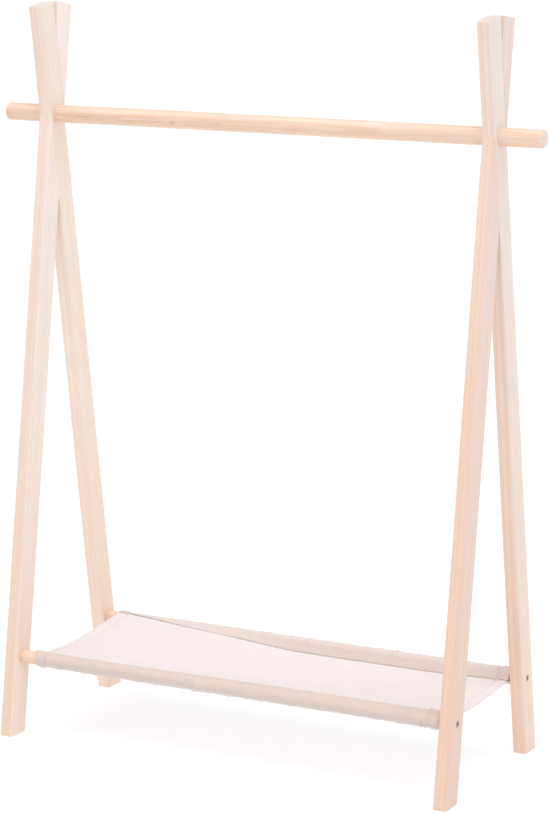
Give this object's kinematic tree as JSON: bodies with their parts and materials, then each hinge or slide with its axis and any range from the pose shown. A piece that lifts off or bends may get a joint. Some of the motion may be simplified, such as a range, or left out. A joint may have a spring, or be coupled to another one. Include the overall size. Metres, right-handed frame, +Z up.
{
  "type": "clothes rack",
  "caption": "Free-standing wooden clothes rack: crossed-leg side frames carry a round hanging rail, with a canvas sling shelf stretched between low dowels.",
  "frame": {"origin": "on the floor, midway between the four feet and midway along the hanging rail", "axes": "+X along the hanging rail, to the right seen from the front; -Y towards the front; +Z up"},
  "size_m": [0.796, 0.295, 0.9997],
  "materials": {
    "leg_pine": "planed pale pine, unlacquered, fine straight grain along the leg",
    "rail_pine": "turned pine dowel, slightly warmer than the legs, flowing grain, end grain at both ends",
    "dowel_pine": "turned pine dowel, unlacquered",
    "screw_steel": "zinc-plated wood screw with a cross recess",
    "canvas": "off-white cotton canvas, plain weave, matt, sewn with matching thread"
  },
  "bodies": {
    "root": {"left_front_leg": "leg_pine", "left_back_leg": "leg_pine", "right_front_leg": "leg_pine", "right_back_leg": "leg_pine", "hanging_rail": "rail_pine", "front_shelf_dowel": "dowel_pine", "back_shelf_dowel": "dowel_pine", "left_front_screw": "screw_steel", "left_back_screw": "screw_steel", "right_front_screw": "screw_steel", "right_back_screw": "screw_steel", "shelf_panel": "canvas", "front_sleeve": "canvas", "back_sleeve": "canvas"}
  },
  "joints": []
}
